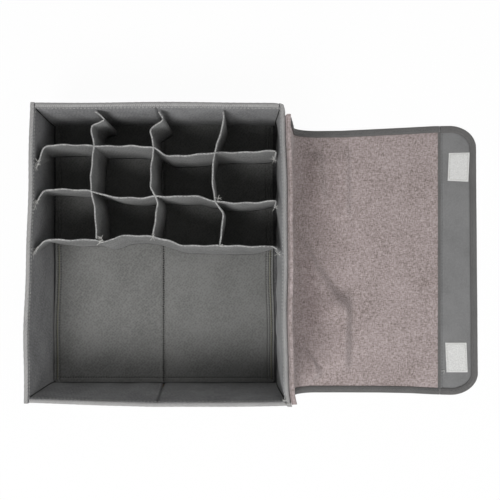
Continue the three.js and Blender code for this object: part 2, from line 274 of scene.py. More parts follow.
for name, material, slot in (
    ("base_cloth", outside_nonwoven, "grey_cloth"),
    ("base_lining", base_nonwoven, "grey_lining"),
    ("base_board_left", cardboard, "stiffening_board"),
    ("base_board_right", cardboard, "stiffening_board"),
):
    points, flat_size, thickness = cad_grid(name, BASE_STEP, BASE_STEP)
    base_sheet = layer(f"{name}_sheet", sway(points), thickness, material)
    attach(base_sheet, "box")
    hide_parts(name)


# Base insert. A stiff pad of two boards inside a non-woven sleeve, with a crease at the middle so
# that it folds. It is hemmed on its outer edges with two or three rows of machine stitches. It is
# a little smaller than the floor, so that a dark gap shows along the walls.
INSERT_FRONT_Y = -167.2
INSERT_EDGE_AT_FRONT = {"left": 145.9, "right": 142.6}
INSERT_EDGE_AT_GRID = {"left": 143.4, "right": 140.4}
INSERT_CORNER = 4.0
# The pad's thickness, how far its face lies under the CAD pad's, and half the cut at its crease.
INSERT_PAD, INSERT_DROP, INSERT_CUT = 2.2, 0.2, 0.25
HEM_ROWS = {"left": (2.9, 6.7), "right": (2.6, 5.6, 8.8), "front": (6.4,)}
HEM_RISE, HEM_WIDTH, HEM_ZONE = 0.6, 7.5, 14.0
CREASE_DEPTH, CREASE_HALF_WIDTH = 2.6, 2.3
STITCH_DENT, STITCH_DENT_WIDTH = 1.1, 1.0


def insert_edge(side, y):
    """How far the insert reaches to one side, with its front corner rounded off."""
    toward_grid = np.clip((y - INSERT_FRONT_Y) / -INSERT_FRONT_Y, 0, 1)
    edge = INSERT_EDGE_AT_FRONT[side]
    edge = edge + (INSERT_EDGE_AT_GRID[side] - edge) * toward_grid + 0.5 * np.sin(y / 19.0)
    short = np.clip(INSERT_CORNER - (y - INSERT_FRONT_Y), 0, INSERT_CORNER)
    return edge - (INSERT_CORNER - np.sqrt(np.clip(INSERT_CORNER**2 - short**2, 0, None)))


def insert_top(x, y, side):
    """Height of the insert's face over its flat level: soft boards, hem, dents and crease."""
    soft = 0.6 * np.sin(x / 24.0 + 0.8) * np.sin(y / 31.0 + 0.4) + 0.4 * np.sin(x / 13.0 + y / 19.0)
    soft += 0.3 * np.sin(y / 9.5 - x / 14.0)
    from_side = insert_edge(side, y) - np.abs(x)
    from_front = y - INSERT_FRONT_Y
    hem = np.minimum(from_side, from_front)
    height = soft * np.clip((hem - 7) / 20.0, 0.0, 1.0)
    height += HEM_RISE / (1 + np.exp((hem - HEM_WIDTH) / 0.7))
    for inset in HEM_ROWS[side]:
        height -= STITCH_DENT * np.exp(-(((from_side - inset) / STITCH_DENT_WIDTH) ** 2))
    for inset in HEM_ROWS["front"]:
        height -= STITCH_DENT * np.exp(-(((from_front - inset) / STITCH_DENT_WIDTH) ** 2))
    from_crease = np.abs(x - FLOOR_CREASE_X) / CREASE_HALF_WIDTH
    return height - CREASE_DEPTH * np.exp(-(from_crease**2))


insert_nonwoven = nonwoven("insert_nonwoven", "#828280", "#6c6c6a", strength=0.15)
for side, sign in (("left", -1), ("right", 1)):
    node_name = f"base_insert_{side}"
    high = cad_size(node_name)[1]
    insert_face = high[2] - INSERT_DROP
    # Points lie closer together over the hem, because its grooves are narrow.
    share = np.concatenate([np.linspace(0, 0.9, 75)[:-1], np.linspace(0.9, 1, 32)])
    hem_end = INSERT_FRONT_Y + HEM_ZONE
    y = np.concatenate([np.linspace(INSERT_FRONT_Y, hem_end, 24)[:-1], np.linspace(hem_end, high[1], 110)])
    inner_x = FLOOR_CREASE_X + sign * INSERT_CUT
    x = inner_x + (sign * insert_edge(side, y)[None, :] - inner_x) * share[:, None]
    y = np.repeat(y[None, :], len(share), axis=0)
    z = insert_face - INSERT_PAD / 2 + insert_top(x, y, side)
    pad_points = sway(np.stack([x, y, z], axis=-1))
    insert_half = layer(f"{node_name}_pad", pad_points, INSERT_PAD, insert_nonwoven)
    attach(insert_half, "box")
    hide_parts(node_name)


# Walls. Each is an outside cloth, one or two boards and a lining, sewn together round the edges.
# The lining is a little loose and swells in between the divider tabs that are sewn to it.
LINING_SWELL = {"left": 1.0, "right": 3.4, "front": 2.2, "back": 2.0}
CREASE_PINCH, PINCH_WIDTH = 4.0, 1.5
WALL_STEP, CLOTH_STEP, LINING_STEP = 4.5, 6.0, 1.3


def lining_swell(along, z, seed):
    """How far a lining stands off its board: nothing at its seams, most below half its height."""
    upright = np.sin(np.clip(z / RIM_Z, 0, 1) ** 0.7 * math.pi) ** 0.8
    waves = 0.7 + 0.3 * np.sin(along / 13.0 + seed) * np.sin(along / 29.0 + 2.0 * seed)
    fine = 0.2 * np.sin(along / 6.0 + z / 21.0 + seed)
    return upright * (waves + fine)


def loose_lining(points, side):
    """Lets a lining stand off its board between its seams, and pinches a creased one at its crease."""
    thin = 1 if side in ("front", "back") else 0
    middle = points[0, 0, thin]
    inward = -np.sign(middle)
    swell = lining_swell(points[..., 1 - thin], points[..., 2], middle)
    points[..., thin] += inward * LINING_SWELL[side] * swell
    if thin == 1:
        crease_x = FLOOR_CREASE_X + (RIM_CREASE_X - FLOOR_CREASE_X) * points[..., 2] / RIM_Z
        points[..., 1] -= inward * CREASE_PINCH * np.exp(-(((points[..., 0] - crease_x) / PINCH_WIDTH) ** 2))
    return points


for side in ("left", "right", "front", "back"):
    boards = ("board_left", "board_right") if side in ("front", "back") else ("board",)
    for part, material, slot, step in (
        ("cloth", outside_nonwoven, "grey_cloth", CLOTH_STEP),
        ("lining", lining_nonwoven, "grey_lining", LINING_STEP),
        *[(board, cardboard, "stiffening_board", WALL_STEP) for board in boards],
    ):
        points, flat_size, thickness = cad_grid(f"{side}_wall_{part}", step, WALL_STEP)
        if part == "lining":
            points = loose_lining(points, side)
        wall_sheet = layer(f"{side}_wall_{part}_sheet", sway(points), thickness, material)
        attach(wall_sheet, "box")
        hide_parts(f"{side}_wall_{part}")


# Rim binding. A woven polypropylene tape is folded over the raw top edge of each wall and sewn
# through it with one row of stitches. It is a dull grey with a fine twill line.
RIM_HALF_WIDTH, RIM_REACH, RIM_TAPE = 2.6, 8.0, 0.9
RIM_INSET, RIM_STEP = 3.4, 4.0
RIM_STITCH_DEPTH, SEAM_STAND_OFF = 5.0, 0.3
PUCKER, PUCKER_PITCH = 0.22, 9.0
RIM_UNEVEN, RIM_UNEVEN_LENGTH = 0.18, 23.0
TWILL_PITCH = 1.8
STITCH_PITCH, STITCH_LENGTH, STITCH_RADIUS = 4.2, 2.9, 0.38
# The rings of one stitch, as place along it, height in thread radii, and share of its radius.
STITCH_RINGS = ((-0.5, -0.25, 0.35), (-0.3, 0.55, 0.9), (0.0, 0.8, 1.0), (0.3, 0.55, 0.9), (0.5, -0.25, 0.35))


def woven_tape(name, shade, dark):
    """Woven tape: flat yarns that cross in a slanted line, which catches light in fine ridges."""
    material, tree, surface, place = new_material(name, {"Roughness": 0.9, "Specular IOR Level": 0.25})
    turned = node(
        tree, "ShaderNodeMapping", {"Rotation": (0.3, 0.2, math.radians(38))}, {"Vector": place})
    # The bands of a wave texture lie 2 pi / (20 x scale) apart.
    twill = node(
        tree, "ShaderNodeTexWave", {"Scale": 2 * math.pi / (20.0 * TWILL_PITCH * MM), "Distortion": 1.2},
        {"Vector": turned.outputs["Vector"]}).outputs["Fac"]
    fibre = noise(tree, place, {"Scale": 700.0, "Detail": 3.0})
    cloud = noise(tree, place, {"Scale": 30.0, "Detail": 3.0})
    ridges = maths(tree, "MULTIPLY_ADD", twill, 0.5, fibre)
    two_tone(tree, surface, maths(tree, "MULTIPLY_ADD", cloud, 0.5, ridges), (dark, shade), (0.45, 1.0))
    relief(tree, surface, ridges, 0.45, 0.35)
    return material


rim_tape = woven_tape("rim_tape", "#a8a7a6", "#6e6d6c")


def thread_finish(name, shade):
    """Spun polyester thread: round and slightly bright along its top."""
    material, tree, surface, place = new_material(name, {"Base Color": linear(shade), "Roughness": 0.7})
    relief(tree, surface, noise(tree, place, {"Scale": 1500.0}), 0.3, 0.1)
    return material


dark_thread = thread_finish("dark_polyester_thread", "#2c2c2a")
olive_thread = thread_finish("olive_polyester_thread", "#8d8b73")
grey_thread = thread_finish("grey_polyester_thread", "#5c5c5e")
rim_thread = thread_finish("light_grey_polyester_thread", "#b4b4b2")
pale_thread = thread_finish("pale_polyester_thread", "#c9c8c4")


def sweep_mesh(stations):
    """Vertices, faces and end caps of a tube through stations, each one a ring of points."""
    count, ring = stations.shape[:2]
    faces = []
    for i in range(count - 1):
        for j in range(ring):
            k = (j + 1) % ring
            faces.append([i * ring + j, i * ring + k, (i + 1) * ring + k, (i + 1) * ring + j])
    caps = len(faces)
    faces.append(list(reversed(range(ring))))
    faces.append([(count - 1) * ring + j for j in range(ring)])
    return stations.reshape(-1, 3), faces, {caps, caps + 1}


def join_meshes(parts):
    """One list of vertices, faces and hard faces from several meshes."""
    vertices, faces, hard = [], [], set()
    for part_vertices, part_faces, part_hard in parts:
        base, first = sum(len(v) for v in vertices), len(faces)
        vertices.append(part_vertices)
        faces += [[i + base for i in face] for face in part_faces]
        hard |= {first + i for i in part_hard}
    return np.concatenate(vertices), faces, hard


def folded_section():
    """The rim's tape seen end on, folded over the edge: points of (across, up)."""
    sides = []
    for inset in (0.0, RIM_TAPE):
        half, high = RIM_HALF_WIDTH - inset, RIM_HALF_WIDTH * 0.8 - inset
        turns = np.linspace(math.pi, 0, 8)
        fold = [(half * math.cos(a), high * math.sin(a) - RIM_HALF_WIDTH * 0.8) for a in turns]
        sides.append([(-half, -RIM_REACH)] + fold + [(half, -RIM_REACH)])
    return np.array(sides[0] + sides[1][::-1])


def plan_normals(path):
    """Level unit directions across a path of points, on its right as seen from above."""
    step = np.gradient(path[:, :2], axis=0)
    step /= np.maximum(np.linalg.norm(step, axis=1, keepdims=True), 1e-9)
    return np.stack([step[:, 1], -step[:, 0], np.zeros(len(path))], axis=1)


def path_length(points):
    """Length of a path of points."""
    return float(np.linalg.norm(np.diff(np.asarray(points, float), axis=0), axis=1).sum())


def even_path(points, step):
    """The same path with points an even step apart."""
    points = np.asarray(points, float)
    lengths = np.concatenate([[0], np.cumsum(np.linalg.norm(np.diff(points, axis=0), axis=1))])
    count = max(2, int(round(lengths[-1] / step)) + 1)
    at = np.linspace(0, lengths[-1], count)
    return np.stack([np.interp(at, lengths, points[:, k]) for k in range(points.shape[1])], axis=1)


def tape_on_path(path, section):
    """Stations of a section that stands upright along a path of points."""
    out, up = plan_normals(path)[:, None, :], np.array([0.0, 0.0, 1.0])
    return path[:, None, :] + section[None, :, :1] * out + section[None, :, 1:] * up


def stitches(
        name, path, normals, body, material=grey_thread, pitch=STITCH_PITCH, thick=STITCH_RADIUS):
    """A row of short stitches along a path, each one a thread that dips at both of its ends.

    The normals are the way that the cloth faces, as one direction or one for each point."""
    length = path_length(path)
    normals = np.broadcast_to(normals, path.shape)
    places = even_path(np.concatenate([path, normals], axis=1), length / max(1, int(length / pitch)))
    reach = pitch * STITCH_LENGTH / STITCH_PITCH
    turns = np.arange(6)[:, None] * math.pi / 3
    meshes = []
    for start, end in zip(places[:-1], places[1:]):
        normal = start[3:] / max(np.linalg.norm(start[3:]), 1e-9)
        way = end[:3] - start[:3]
        way = way / max(np.linalg.norm(way), 1e-9)
        around = np.cross(normal, way) * np.cos(turns) + normal * np.sin(turns)
        middle = (start[:3] + end[:3]) / 2
        rings = [
            middle + way * along * reach + (normal * lift + around * scale) * thick
            for along, lift, scale in STITCH_RINGS
        ]
        meshes.append(sweep_mesh(np.array(rings)))
    row = make(name, *join_meshes(meshes)[:2], (), material)
    if body:
        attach(row, body)
    return row


def insert_row(name, x, y, lift, thread, pitch, thick):
    """A row of stitches on the insert's face, raised by a lift."""
    row = np.stack([x, y, np.full_like(y, insert_face) + lift], axis=1)
    stitches(name, sway(row), (0.0, 0.0, 1.0), "box", thread, pitch, thick)


# The hem's rows as thread, pitch and radius. Each row is pulled a little way into the cloth.
HEM_STITCH, HEM_SINK = (dark_thread, 3.3, 0.62), 0.1
for side, sign in (("left", -1), ("right", 1)):
    y = np.linspace(INSERT_FRONT_Y + 3, 12.0, 60)
    for k, inset in enumerate(HEM_ROWS[side]):
        x = sign * (insert_edge(side, y) - inset)
        lift = insert_top(x, y, side) - HEM_SINK
        insert_row(f"insert_hem_{side}_stitches_{k + 1}", x, y, lift, *HEM_STITCH)
    # A row of paler thread binds the raw edge under the hem.
    inset = sum(HEM_ROWS[side][:2]) / 2 - 0.2
    x = sign * (insert_edge(side, y) - inset)
    insert_row(f"insert_hem_{side}_overlock", x, y, insert_top(x, y, side), olive_thread, 2.4, 0.75)
x = np.linspace(4.0 - INSERT_EDGE_AT_FRONT["left"], INSERT_EDGE_AT_FRONT["right"] - 4.0, 120)
y = np.full_like(x, INSERT_FRONT_Y + HEM_ROWS["front"][0])
lift = np.where(x < FLOOR_CREASE_X, insert_top(x, y, "left"), insert_top(x, y, "right")) - HEM_SINK
insert_row("insert_hem_front_stitches", x, y, lift, *HEM_STITCH)
y = np.linspace(INSERT_FRONT_Y + 1, 14.0, 120)
insert_row("insert_crease_stitches", FLOOR_CREASE_X + 0.5 * np.sin(y / 2.1), y, -1.9, dark_thread, 3.0, 0.85)

# The linings are sewn to each other down the four inner corners, with dark thread. The thick dark thread is
# partly this seam and partly painted shade for the crease in each corner.
for side, side_way in (("left", -1), ("right", 1)):
    for end, end_way in (("front", -1), ("back", 1)):
        side_x = [corner[0] for corner in cad_size(f"{side}_wall_lining")]
        end_y = [corner[1] for corner in cad_size(f"{end}_wall_lining")]
        side_face, end_face = np.abs(side_x).min(), np.abs(end_y).min()
        z = np.linspace(insert_face + 1.0, RIM_Z - RIM_REACH + 2.0, 40)
        side_stand = LINING_SWELL[side] * lining_swell(end_way * end_face, z, np.mean(side_x))
        end_stand = LINING_SWELL[end] * lining_swell(side_way * side_face, z, np.mean(end_y))
        x = side_way * (side_face - side_stand - SEAM_STAND_OFF)
        y = end_way * (end_face - end_stand - SEAM_STAND_OFF)
        row = sway(np.stack([x, y, z], axis=1))
        inward = (-side_way, -end_way, 0.8)
        stitches(f"corner_seam_and_shade_{end}_{side}", row, inward, "box", dark_thread, 3.0, 0.8)

rim_x, rim_y = BOX_SIDE - RIM_INSET, BOX_BACK - RIM_INSET
side_back, end_x = BOX_BACK - 0.6, 145.3
# Each rim as the path of its tape and the way that its inside faces.
rim_paths = {
    "left": ([(-rim_x, BOX_FRONT, RIM_Z), (-rim_x, side_back, RIM_Z)], (1, 0)),
    "right": ([(rim_x, side_back, RIM_Z), (rim_x, BOX_FRONT, RIM_Z)], (-1, 0)),
    "back": ([(-end_x, rim_y, RIM_Z), (end_x, rim_y, RIM_Z)], (0, -1)),
    "front": ([(end_x, -rim_y, RIM_Z), (-end_x, -rim_y, RIM_Z)], (0, 1)),
}
rim_section = folded_section()
for side, (corners, toward) in rim_paths.items():
    path = even_path(corners, RIM_STEP)
    stations = tape_on_path(path, rim_section)
    # The stitches pull the tape in where they pass, so that it puckers between them.
    along = np.arange(len(path))[:, None] * RIM_STEP
    puckers = PUCKER * np.sin(along * 2 * math.pi / PUCKER_PITCH)
    puckers += RIM_UNEVEN * np.sin(along / RIM_UNEVEN_LENGTH + len(side))
    stations[..., 2] += 0.5 * puckers
    outward = 0 if side in ("left", "right") else 1
    stations[..., outward] += 0.6 * puckers * np.sign(rim_section[None, :, 0])
    rim = make(f"{side}_rim_tape", *sweep_mesh(sway(stations)), rim_tape)
    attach(rim, "box")
    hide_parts(f"{side}_rim_binding")
    row = path + np.array([*toward, 0]) * (RIM_HALF_WIDTH + 0.1)
    row[:, 2] -= RIM_STITCH_DEPTH
    facing = (*toward, 0.4)
    stitches(f"{side}_rim_stitches", sway(row), facing, "box", rim_thread, thick=0.55)


# Dividers. Three row strips and three column strips of pale non-woven cloth, each folded double
# over its top edge and sewn where they cross. The strips are slack, so they wander between their
# seams. Each row's ends turn along the side walls and are sewn flat to the lining.
DIVIDER_CLOTH = 1.9
DIVIDER_TOP, DIVIDER_FOOT = 113.0, 8.6
CROSSING_GAP, WALL_GAP = 1.1, 0.4
ROW_PLANS = (
    [(-140.2, 102.5), (-139.2, 105.8), (-130.8, 128.2), (-102.0, 129.4), (-72.6, 128.2), (-49.0, 127.2),
     (-27.2, 128.2), (-2.9, 126.2), (13.6, 115.5), (40.0, 117.0), (68.8, 120.0), (105.0, 120.4),
     (141.8, 122.4), (139.8, 114.5), (138.4, 111.0)],
    [(-142.4, 56.6), (-141.0, 60.1), (-130.8, 76.5), (-104.0, 77.0), (-76.2, 75.0), (-52.7, 67.8),
     (-17.5, 66.4), (-1.0, 68.8), (22.0, 68.2), (44.8, 69.7), (69.5, 62.6), (96.0, 60.6),
     (122.2, 61.4), (142.0, 64.0), (140.2, 57.6), (138.8, 55.0)],
    [(-144.0, -0.6), (-142.6, 2.6), (-130.0, 18.2), (-100.0, 17.0), (-70.1, 18.2), (-64.2, 13.4),
     (-42.8, 22.1), (-24.0, 22.6), (-3.8, 21.7), (14.0, 17.0), (31.1, 10.4), (76.0, 11.0),
     (122.2, 9.4), (137.1, 10.4), (142.4, 6.8), (143.4, 0.8)],
)
# The plan's point where each row turns at the left and at the right.
ROW_CORNERS = (
    ((-130.8, 128.2), (141.8, 122.4)),
    ((-130.8, 76.5), (142.0, 64.0)),
    ((-130.0, 18.2), (140.0, 9.4)),
)
COLUMN_PLANS = (
    ([(-72.1, 168.4), (-66.0, 165.0), (-59.4, 158.4), (-75.0, 152.8), (-76.2, 146.6), (-72.6, 128.2)],
     [(-72.6, 128.2), (-75.6, 108.0), (-76.9, 88.3), (-76.2, 75.0)],
     [(-76.2, 75.0), (-73.0, 58.0), (-71.0, 43.4), (-70.1, 18.2)]),
    ([(3.0, 168.4), (8.8, 159.3), (-1.0, 152.0), (-6.8, 146.6), (-2.9, 126.2)],
     [(-2.9, 126.2), (-5.6, 104.0), (-6.8, 80.5), (-1.0, 68.8)],
     [(-1.0, 68.8), (1.9, 61.0), (-0.6, 42.0), (-3.5, 24.0), (-3.8, 21.7)]),
    ([(78.8, 168.4), (79.6, 160.0), (78.8, 152.5), (73.4, 136.0), (69.1, 120.0)],
     [(69.1, 120.0), (65.9, 95.9), (67.0, 80.0), (69.5, 62.6)],
     [(69.5, 62.6), (78.8, 49.3), (77.6, 30.0), (74.9, 11.0)]),
)
# How far each row's foot stands in front of its top, at the left and at the right.
ROW_FOOT_FORWARD = ((1.0, 1.0), (1.0, 4.0), (7.0, 11.0))
# From where a foot parts from the tab above it, and where it meets the side wall.
LEFT_FOOT_FROM, RIGHT_FOOT_FROM = -104.0, 116.0
LEFT_FOOT_END, RIGHT_FOOT_END = -146.0, 145.2
ROW_REACH = 110.0
CORNER_CUT = 0.13
# The slack between seams: a strip's bulge, its ripple near the top, and how its top edge lifts.
BULGE, RIPPLE, TOP_LIFT, TOP_RIPPLE = 1.5, 0.45, 0.7, 0.35
HELD_LENGTH = 12.0
PLAN_STEP, DIVIDER_STEP = 0.4, 2.4
# The divider cloth is drawn as two copies: a darker one, whose colour paints the shade down in the cells, and
# a paler one over the top band, whose colour paints the light that falls on the fold.
LIT_FOLD_BAND = 1.5
shaded_divider_nonwoven = nonwoven("shaded_divider_nonwoven", "#8a8a89", "#626261")
lit_fold_nonwoven = nonwoven("lit_fold_nonwoven", "#b4b4b2", "#808080")


def paint_light_on_fold(strip):
    """Paints the light that falls on a divider's top fold: faces over the top band take a paler copy of the
    cloth.
    """
    strip.data.materials.append(lit_fold_nonwoven)
    for polygon in strip.data.polygons:
        if polygon.center.z > (DIVIDER_TOP - LIT_FOLD_BAND) * MM:
            polygon.material_index = 1


def rounded_plan(points):
    """A path with its corners cut twice, so that cloth turns in a curve and not a point."""
    path = np.asarray(points, float)
    for _ in range(2):
        first, second = path[:-1], path[1:]
        near, far = first + (second - first) * CORNER_CUT, second - (second - first) * CORNER_CUT
        middle = np.stack([near, far], axis=1).reshape(-1, path.shape[1])
        path = np.concatenate([path[:1], middle[1:-1], path[-1:]])
    return path


def upright_section():
    """A divider seen end on, with a rounded fold along its top: points of (across, height)."""
    half = DIVIDER_CLOTH / 2
    fold_z = DIVIDER_TOP - half
    heights = DIVIDER_FOOT + (fold_z - 1.2 - DIVIDER_FOOT) * np.linspace(0, 1, 14) ** 0.8
    heights = np.append(heights, fold_z)
    fold = [(-half * math.cos(a), fold_z + half * math.sin(a)) for a in np.radians([36, 72, 108, 144])]
    return np.array([(-half, z) for z in heights] + fold + [(half, z) for z in heights[::-1]])


def before_sway(plan, z):
    """Moves plan points measured at a height to where they stand before the box sways."""
    points = np.concatenate([plan, np.full((len(plan), 1), z)], axis=1)
    return (points - (sway(points) - points))[:, :2]


def row_foot_shift(path, i):
    """How far a row's foot stands from its top. The tabs are only at the top: the foot meets the walls."""
    x, y = path[:, 0], path[:, 1]
    (left_x, left_y), (right_x, right_y) = ROW_CORNERS[i]
    to_left = np.clip((LEFT_FOOT_FROM - x) / (LEFT_FOOT_FROM - left_x), 0, 1)
    to_right = np.clip((x - RIGHT_FOOT_FROM) / (right_x - 4.0 - RIGHT_FOOT_FROM), 0, 1)
    dx = (LEFT_FOOT_END - x) * to_left + (RIGHT_FOOT_END - x) * to_right
    left_foot, right_foot = ROW_FOOT_FORWARD[i]
    forward = left_foot + (right_foot - left_foot) * np.clip((x + ROW_REACH) / (2 * ROW_REACH), 0, 1)
    dy = -forward * (1 - np.maximum(to_left, to_right))
    dy += np.where(x < left_x + 1, 0.8 * np.clip(left_y - y, 0, None), 0)
    dy += np.where(x > right_x - 6, 0.8 * np.clip(right_y - y, 0, None), 0)
    return np.stack([dx, dy], axis=1)


def divider_mesh(plan, seed, trim=(0.0, 0.0), row=None):
    """Vertices, faces and caps of one slack strip along a plan seen from above, or of a whole row."""
    path = even_path(rounded_plan(plan), PLAN_STEP)
    start, stop = int(trim[0] / PLAN_STEP), len(path) - int(trim[1] / PLAN_STEP)
    path = even_path(path[start:stop], DIVIDER_STEP)
    flat = np.concatenate([before_sway(path, DIVIDER_TOP), np.zeros((len(path), 1))], axis=1)
    stations = tape_on_path(flat, upright_section())
    if row is not None:
        low_share = np.clip(1 - stations[..., 2:] / DIVIDER_TOP, 0, 1) ** 0.8
        stations[..., :2] += row_foot_shift(path, row)[:, None, :] * low_share
    at = (np.arange(len(path)) * DIVIDER_STEP)[:, None]
    height = np.clip(stations[..., 2] / DIVIDER_TOP, 0, 1)
    held = np.clip(np.minimum(at, at[::-1]) / HELD_LENGTH, 0, 1)
    wave = BULGE * np.sin(at / 10.5 + 2.1 * seed + 1.4 * height) * np.sin(math.pi * height) ** 0.7
    wave += RIPPLE * np.sin(at / 4.3 + seed) * height**2
    stations = stations + plan_normals(flat)[:, None, :] * (held * wave)[..., None]
    lift = TOP_LIFT * np.sin(at / 14.0 + 1.7 * seed) + TOP_RIPPLE * np.sin(at / 5.5 + seed)
    stations[..., 2] += held * lift * height**4
    return sweep_mesh(sway(stations))


for i, plan in enumerate(ROW_PLANS):
    row = make(f"row_divider_{i + 1}_strip", *divider_mesh(plan, i, row=i), shaded_divider_nonwoven)
    paint_light_on_fold(row)
    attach(row, "box")
    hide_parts(f"row_divider_{i + 1}")
for i, stretches in enumerate(COLUMN_PLANS):
    meshes = [
        divider_mesh(plan, 5 + 3 * i + k, (WALL_GAP if k == 0 else CROSSING_GAP, CROSSING_GAP))
        for k, plan in enumerate(stretches)
    ]
    column = make(f"column_divider_{i + 1}_strip", *join_meshes(meshes), shaded_divider_nonwoven)
    paint_light_on_fold(column)
    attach(column, "box")
    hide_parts(f"column_divider_{i + 1}")


# Thread ends. Where a seam is finished the thread is cut short, and a few hairs of it stand up.
DIVIDER_TUFTS = (
    (-66.0, 14.2), (-66.5, 17.5), (-64.0, 19.0), (-3.6, 20.6), (74.8, 9.6), (73.0, 66.0),
    (-140.0, 103.0), (-139.8, 106.0), (-138.6, 109.5), (-142.2, 57.0), (-141.4, 60.5), (-139.6, 63.5),
    (-143.8, 0.0), (-142.6, 4.0), (-141.0, 7.0), (138.6, 111.4), (139.0, 55.4), (143.2, 1.2),
)
RIM_TUFTS = ((152.0, -169.5), (155.5, -172.0))
TUFT_HAIRS, TUFT_LENGTH, HAIR_RADIUS = 5, 6.5, 0.36
draw = np.random.default_rng(11)


def hair_mesh(start, way, rise, curl):
    """A short thread that stands up, bends over and thins out."""
    t = np.linspace(0, 1, 7)[:, None]
    line = start + way * t * TUFT_LENGTH * 0.7 + np.array([0, 0, 1.0]) * rise * np.sin(t * 2.2)
    line += np.array([-way[1], way[0], 0]) * curl * t**2
    stations = []
    for k, point in enumerate(line):
        radius = HAIR_RADIUS * (1 - 0.5 * k / 6)
        stations.append([point + radius * np.array([math.cos(a), math.sin(a) * 0.8, math.sin(a) * 0.6])
                         for a in np.linspace(0, 2 * math.pi, 6)[:-1]])
    return sweep_mesh(np.array(stations))


tuft_places = [(x, y, DIVIDER_TOP) for x, y in DIVIDER_TUFTS] + [(x, y, RIM_Z) for x, y in RIM_TUFTS]
for i, (x, y, z) in enumerate(tuft_places):
    hairs = []
    for _ in range(TUFT_HAIRS):
        angle = draw.uniform(0, 2 * math.pi)
        way = np.array([math.cos(angle), math.sin(angle), 0.0])
        start = np.array([x, y, z + 0.2])
        hairs.append(hair_mesh(start, way, draw.uniform(0.8, 2.4), draw.uniform(-2.0, 2.0)))
    tuft = make(f"thread_tuft_{i + 1}", *join_meshes(hairs)[:2], (), pale_thread)
    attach(tuft, "box")


# Lid panel. One piece of soft taupe melange cloth, woven from yarns of two shades. It is sewn to
# the right rim, hangs down the wall, turns onto the surface and lies there with its inner face up.
# It is made in four lengths, each listed with one fold.
LID_THICKNESS, LID_TRIM = 2.0, 1.2
LID_STEP, LID_COLUMNS = 2.6, 130
LID_LEAN = math.radians(5)
LEAN_SIN, LEAN_COS = math.sin(LID_LEAN), math.cos(LID_LEAN)
BEND_RADIUS, BEND_ANGLE = 35.0, math.pi / 2 - LID_LEAN
LID_EDGE_PLACES = (0.0, 30.0, 95.0, 150.0, 180.0, 230.0, 270.0, 300.0, 330.0, 360.0)
LID_FRONT_EDGE = (-173.0, -176.5, -181.0, -181.6, -181.6, -181.8, -182.6, -184.2, -185.0, -185.0)
LID_BACK_EDGE = (163.0, 162.6, 162.0, 161.8, 162.2, 164.6, 166.6, 168.2, 168.6, 168.6)
LID_END_AT_BACK, LID_END_AT_FRONT = 407.4, 409.7
LID_CORNER_ALONG, LID_CORNER_ACROSS = 36.0, 29.0
FOLD_REACH, SEAM_GAP = 5.0, 0.5
LYING_SPLIT = 230.0
joint_at = {j["name"]: np.array(j["pos_m"]) / MM for j in frame["joints"]}
hinge_at, fold_at = joint_at["lid_hinge"], joint_at["end_fold"]
first_bend = joint_at["lid_bend_upper"]
bend_tangent = BEND_RADIUS * math.tan(BEND_ANGLE / 6)
straight_length = float(np.linalg.norm(first_bend - hinge_at)) - bend_tangent
arc_length = BEND_RADIUS * BEND_ANGLE
lying_from = straight_length + arc_length
lying_x = hinge_at[0] + straight_length * LEAN_SIN + BEND_RADIUS * LEAN_COS
fold_place = lying_from + fold_at[0] - lying_x


def lid_line(s):
    """The lid's middle line at rest: x, z and the way that it faces, at a distance s from the hinge."""
    hanging = np.clip(s, None, straight_length)
    turned = np.clip((s - straight_length) / BEND_RADIUS, 0, BEND_ANGLE) + LID_LEAN
    flat = np.clip(s - lying_from, 0, None)
    x = hinge_at[0] + hanging * LEAN_SIN + BEND_RADIUS * (LEAN_COS - np.cos(turned)) + flat
    z = hinge_at[2] - hanging * LEAN_COS - BEND_RADIUS * (np.sin(turned) - LEAN_SIN)
    return x, np.where(s > lying_from, fold_at[2], z), turned


# The rim pushes the cloth out, less and less down the wall. The hanging cloth waves from below the
# rim until it turns onto the surface.
RIM_PUSH, RIM_PUSH_FADES = 0.5, 75.0
HUNG_WAVE, HUNG_RIPPLE = 1.1, 0.5
HUNG_GROWS, HUNG_PAST, HUNG_FADES = 30.0, 40.0, 60.0
# The lying cloth is a little uneven and wrinkled. Its wrinkles sink to a share beside the binding.
LAID_BEFORE, LAID_GROWS = 42.0, 34.0
LID_UNEVEN = 0.35
EDGE_SHARE, EDGE_REACH = 0.25, 22.0
# Wrinkles as (from x, from y, to x, to y, height, half width), on the surface beside the box.
LID_WRINKLES = (
    (234.8, 150.0, 234.8, -178.0, 0.7, 1.9),
    (228.5, 164.0, 231.0, 138.0, 1.0, 3.0),
    (270.0, 20.0, 340.0, -30.0, 0.6, 13.0),
    (300.0, 120.0, 345.0, 88.0, 0.6, 10.0),
    (290.0, -96.0, 350.0, -128.0, 0.7, 9.0),
    (354.5, 150.0, 354.5, 126.0, 1.1, 2.2),
    (354.0, -20.0, 355.0, -66.0, 0.8, 2.2),
)
# Raised places as (from x, from y, to x, to y, height, width of the slope, reach). The cloth is
# higher on the left of each line, slopes over the width, and comes down again over the reach.
LID_SLOPES = (
    (244.0, -83.0, 165.0, 33.0, 14.0, 15.0, 40.0),
    (208.0, -160.0, 168.0, -112.0, 15.0, 15.0, 24.0),
    (210.0, 60.0, 202.0, 138.0, 9.5, 13.0, 26.0),
)
# Crests as (from x, from y, to x, to y, height, width of the fall on the right, reach on the left).
LID_CRESTS = (
    (231.0, -164.0, 233.0, -43.0, 16.0, 14.0, 42.0),
    (235.0, 36.0, 235.0, 146.0, 7.0, 9.0, 13.0),
)


def eased(share):
    """A share from 0 to 1 that starts and ends gently."""
    share = np.clip(share, 0, 1)
    return share * share * (3 - 2 * share)


